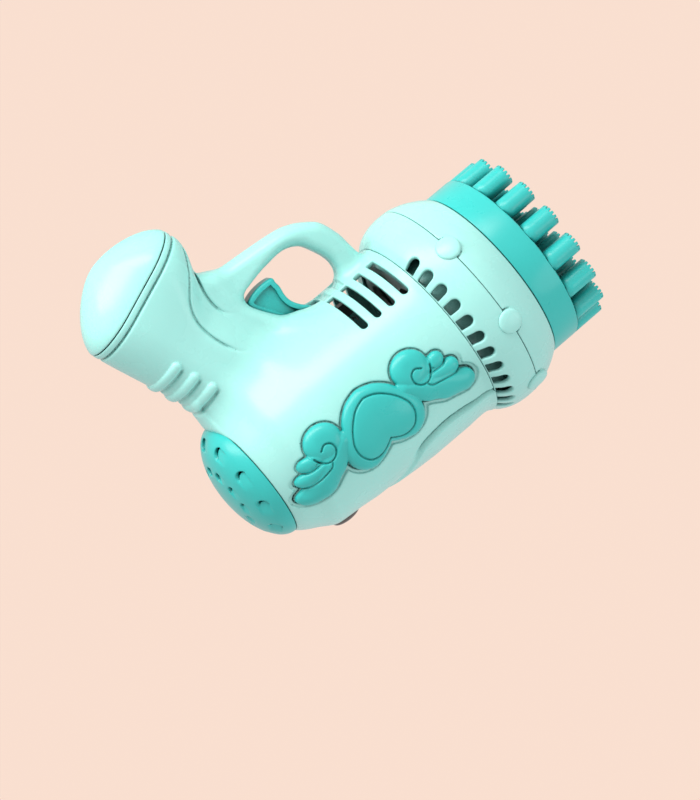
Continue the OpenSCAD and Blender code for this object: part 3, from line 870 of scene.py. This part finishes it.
def front_collar_field(x, y, z):
    shape = rounded_radius(collar_outer, x, y, z)
    shell = keep(shape, -shape - WALL, 0.4)
    shell = keep(shell, SEAM + 0.04 - x, 0.25)
    shell = keep(shell, x - COLLAR_END, 0.8)
    angle = folded_angle(y, z)
    rho = np.hypot(y, z)
    for stud in STUD_ANGLES:
        away = np.hypot(x - SEAM, np.radians(angle - stud) * COLLAR_R)
        ring = np.maximum(np.abs(away - STUD_R - 0.3) - 0.35, COLLAR_R - 1.0 - rho)
        dome = 0.6 + 1.2 * np.sqrt(np.clip(1 - (away / STUD_R) ** 2, 0, 1))
        disc = keep(away - STUD_R, rho - COLLAR_R - dome, 0.5)
        shell = join(cut(shell, ring, 0.2), np.maximum(disc, COLLAR_R - WALL - rho), 0.1)
    return shell


mould("vent_collar", vent_collar_field, (BARREL_END, -58, -58), (SEAM, 58, 58), 0.55,
      "mint_shell", "housing", 120000)
mould("front_collar", front_collar_field, (SEAM - 6, -59, -59), (COLLAR_END, 59, 59), 0.6,
      "mint_shell", "housing", 110000)


# ---- Nozzle ----

def add_nozzle():
    profile = fillet([
        (150, 43.2), (150, 45.8), (COLLAR_END, 45.8), (COLLAR_END + 0.15, RING_R - 0.5),
        (COLLAR_END + 0.5, RING_R), (FACE, RING_R), (FACE, 47.3), (FACE - 2.8, 47.3),
        (FACE - 2.8, 43.2)], 0.5)
    points, faces = lathe(profile, 192)
    add_mesh("nozzle_ring_moulding", points, faces[:, ::-1], "teal_trim", "housing", ["nozzle_ring"])


def tube_mesh():
    """One tube with a bore and a toothed tip, along X from the plate."""
    turns = TEETH * TOOTH_STEPS
    base, tip = FACE + 0.1, TIPS
    profile = [
        (base, BORE_R), (base + 4, BORE_R), (tip - 2, BORE_R), (tip - 0.12, BORE_R + 0.12),
        (tip, BORE_R + 0.4), (tip, TUBE_R - 0.3), (tip - 0.25, TUBE_R - 0.03), (tip - 2, TUBE_R),
        (base + 4, TUBE_R), (base, TUBE_R)]
    points, faces = lathe(profile, turns)
    points = points.reshape(turns, len(profile), 3)
    phase = np.arange(turns) % TOOTH_STEPS
    notch = np.where(phase >= NOTCH_FROM, NOTCH, 0.0)
    points[:, 3:7, 0] -= notch[:, None]
    return points.reshape(-1, 3), faces


def add_tubes():
    one, one_faces = tube_mesh()
    all_points, all_faces = [], []
    for radius, count in TUBE_RINGS:
        for i in range(count):
            a = 2 * math.pi * i / count + TUBE_TURN
            moved = one + (0, radius * math.cos(a), radius * math.sin(a))
            all_faces.append(one_faces + len(one) * len(all_points))
            all_points.append(moved)
    points, faces = np.vstack(all_points), np.vstack(all_faces)
    add_mesh("nozzle_tubes_moulding", points, faces[:, ::-1], "teal_trim", "housing",
             ["nozzle_tubes"])


def plate_field(x, y, z):
    flat = rod(y, z, PLATE_R)
    r = np.hypot(y, z)
    for radius, count in TUBE_RINGS:
        pitch = 2 * np.pi / count
        angle = np.arctan2(z, y) - TUBE_TURN
        off = angle - np.round(angle / pitch) * pitch
        hole = np.hypot(r * np.cos(off) - radius, r * np.sin(off)) - (BORE_R + 0.3)
        flat = np.maximum(flat, -hole)
    return keep(flat, np.abs(x - FACE + 1.1) - 1.7, 0.3)


add_nozzle()
add_tubes()
points, faces = mesh_field(
    plate_field, (FACE - 2.8, -47.5, -47.5), (FACE + 0.6, 47.5, 47.5), 0.6, rounds=1)
add_mesh("nozzle_plate_moulding", points, faces, "teal_trim", "housing", ["nozzle_tubes"],
         most=60000)


# ---- Rear cap ----

# Radius of each ring of louvres, and the half width and length of one.
LOUVRES = ((15.8, 2.1, 7.8), (27.3, 2.5, 10.5))
LOUVRE_TURN, LOUVRE_PITCH = 64, 36


def rear_cap_field(x, y, z):
    rho = np.hypot(y, z)
    angle = np.degrees(np.arctan2(z, y))
    size = np.sqrt((np.minimum(x, 0) / CAP_DEPTH) ** 2 + (rho / CAP_R) ** 2)
    dome = (size - 1) * (CAP_DEPTH + (CAP_R - CAP_DEPTH) * (rho / CAP_R) ** 2) * 0.9
    inner = np.sqrt((np.minimum(x, 0) / (CAP_DEPTH - WALL)) ** 2 + (rho / (CAP_R - WALL)) ** 2)
    inner = (inner - 1) * (CAP_DEPTH - WALL)
    scoop = 0
    holes = np.full(np.broadcast_shapes(x.shape, y.shape, z.shape), 1e3, np.float32)
    for radius, half, length in LOUVRES:
        start = (angle + LOUVRE_TURN + 4) % LOUVRE_PITCH - 4
        along = np.radians(start) * radius
        across = rho - radius
        bar = np.hypot(along - np.clip(along, half, length - half), across) - half
        depth = 1.25 * step(-along, -length, 0)
        scoop = np.maximum(scoop, depth * step(-bar, -0.1, 0.4))
        crescent = np.maximum(np.hypot(along - half - 0.1, across) - half - 0.1,
                              half - np.hypot(along - half - 1.1, across))
        holes = np.minimum(holes, crescent)
    wall = cut(dome + scoop, inner, 0.3)
    wall = cut(wall, holes, 0.3)
    wall = keep(wall, x + 0.06, 0.4)
    tube = np.maximum(rho - CAP_R + WALL, CAP_R - WALL - 2 - rho)
    spigot = np.maximum(tube, np.maximum(x - SPIGOT, -3 - x))
    return join(wall, spigot, 0.3)


mould("rear_cap", rear_cap_field, (-CAP_DEPTH, -CAP_R, -CAP_R), (SPIGOT, CAP_R, CAP_R), 0.45,
      "teal_trim", "housing", 120000)


# ---- Battery cap ----

def battery_cap_field(x, y, z):
    u, w = grip_axes(x, z)

    def shape(inset):
        """A dome whose level cuts are the long oval of the grip at smaller and smaller sizes."""
        r, depth = BULB_R - inset, DOME - inset
        a, b = np.abs(u - BULB_U), np.abs(y)
        root = np.sqrt((BULB_HALF * a) ** 2 + (a * a + b * b) * (r * r - BULB_HALF ** 2))
        size = (a * a + b * b) / (BULB_HALF * a + root + 1e-6)
        size = np.where(b * BULB_HALF > a * r, b / r, size)
        down = np.maximum(-GRIP_LEN - w, 0)
        full = (size ** DOME_POWER + (down / depth) ** DOME_POWER) ** (1 / DOME_POWER)
        return (full - 1) * (depth + (r - depth) * np.clip(size, 0, 1)) * 0.8

    outside = keep(shape(0), w + GRIP_LEN + 0.18, 0.6)
    hollow = np.maximum(shape(WALL), w + GRIP_LEN + 2.2)
    shell = cut(outside, hollow, 0.3)
    plug = oval(u - COLUMN_U, COLUMN_HALF, y, PLUG_R)
    plug = np.maximum(plug, np.abs(w + GRIP_LEN + 0.3) - 1.7)
    boss = np.maximum(rod(u - CAP_SCREW[0], y - CAP_SCREW[1], 5.4), w + GRIP_LEN + 1)
    shell = join(shell, keep(boss, shape(1)), 0.4)
    shell = join(shell, plug, 0.3)
    well = np.maximum(rod(u - CAP_SCREW[0], y - CAP_SCREW[1], 3.6), w + 104.0)
    return cut(shell, well, 0.6)


mould("battery_cap", battery_cap_field, (-28, -23, -131), (58, 23, -94), 0.5,
      "mint_shell", "battery_cap", 90000)


# ---- Trigger and button ----

TRIGGER = curve_through([
    (66, -70.2), (66.6, -67), (67, -64), (66.5, -59.3), (67.5, -54.8), (70.5, -50.4),
    (74.2, -46.6), (74.5, -42), (72.4, -38.2), (72, -30), (72, -24), (67.6, -24), (67.4, -31),
    (66, -38), (62, -44),
    (56, -54), (50.5, -62), (48.8, -67), (52, -69.4), (58.7, -70.8)], 4)


def trigger_field(x, y, z):
    flat = outline(TRIGGER, x, z)
    body = slab(flat, y, TRIGGER_HALF, 1.6)
    boss = slab(rod(x - PIVOT[0], z - PIVOT[1], 4.5), y, TRIGGER_HALF, 0.5)
    body = join(body, boss, 0.6)
    panel = np.maximum(flat + 2.9, z + 47)
    recess = np.maximum(panel, TRIGGER_HALF - 2.0 - np.abs(y))
    body = cut(body, recess, 0.4)
    return cut(body, rod(x - PIVOT[0], z - PIVOT[1], 1.55), 0.2)


mould("trigger", trigger_field, (47, -5, -72), (76, 5, -23), 0.33, "teal_trim", "trigger", 60000)


def button_field(x, y, z):
    r = rod(x - BUTTON_X, y, 7.95)
    ball = np.sqrt((x - BUTTON_X) ** 2 + y ** 2 + (z - BUTTON_TOP + 17.9) ** 2) - 17.9
    dish = np.sqrt((x - BUTTON_X) ** 2 + y ** 2 + (z - BUTTON_TOP - 11.7) ** 2) - 12.3
    body = keep(keep(r, ball, 1.4), 35.6 - z, 0.3)
    body = cut(body, dish, 0.6)
    flange = np.maximum(rod(x - BUTTON_X, y, 9.6), np.abs(z - 36.25) - 0.65)
    return join(body, flange, 0.3)


mould("top_button", button_field, (BUTTON_X - 10, -10, 35), (BUTTON_X + 10, 10, BUTTON_TOP), 0.3,
      "dark_button", "top_button", 30000)


# ---- Trigger spring ----

def add_spring():
    """The return spring, a coil of fixed length; on the gun it shortens as the trigger is pulled."""
    turns, steps, around = 7, 24, 10
    lo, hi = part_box("trigger_spring")
    wire = 0.4
    coil = (hi.y - lo.y) / 2 / MM - wire
    a = 2 * np.pi * np.arange(turns * steps + 1) / steps
    b = 2 * np.pi * np.arange(around) / around
    thick = np.full(len(a), wire)
    thick[[0, -1]] = 0.02
    out = coil + thick[:, None] * np.cos(b)
    x = np.linspace(ahead(lo.x) + wire, ahead(hi.x) - wire, len(a))
    points = np.stack([
        x[:, None] + thick[:, None] * np.sin(b),
        out * np.cos(a)[:, None],
        out * np.sin(a)[:, None] + (lo.z + hi.z) / 2 / MM], 2).reshape(-1, 3)
    faces = quad_rows(len(a), around, False)
    piece = add_mesh("trigger_spring_coil", points, faces, "steel", "housing", ["trigger_spring"])
    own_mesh(piece)


add_spring()


# ---- Inner CAD pieces keep their shapes and get finishes ----

for part in frame["record"]["subparts"]:
    for place in frame["nodes"][part["node"]].material_slots:
        place.material = FINISH[part["material_slot"]]
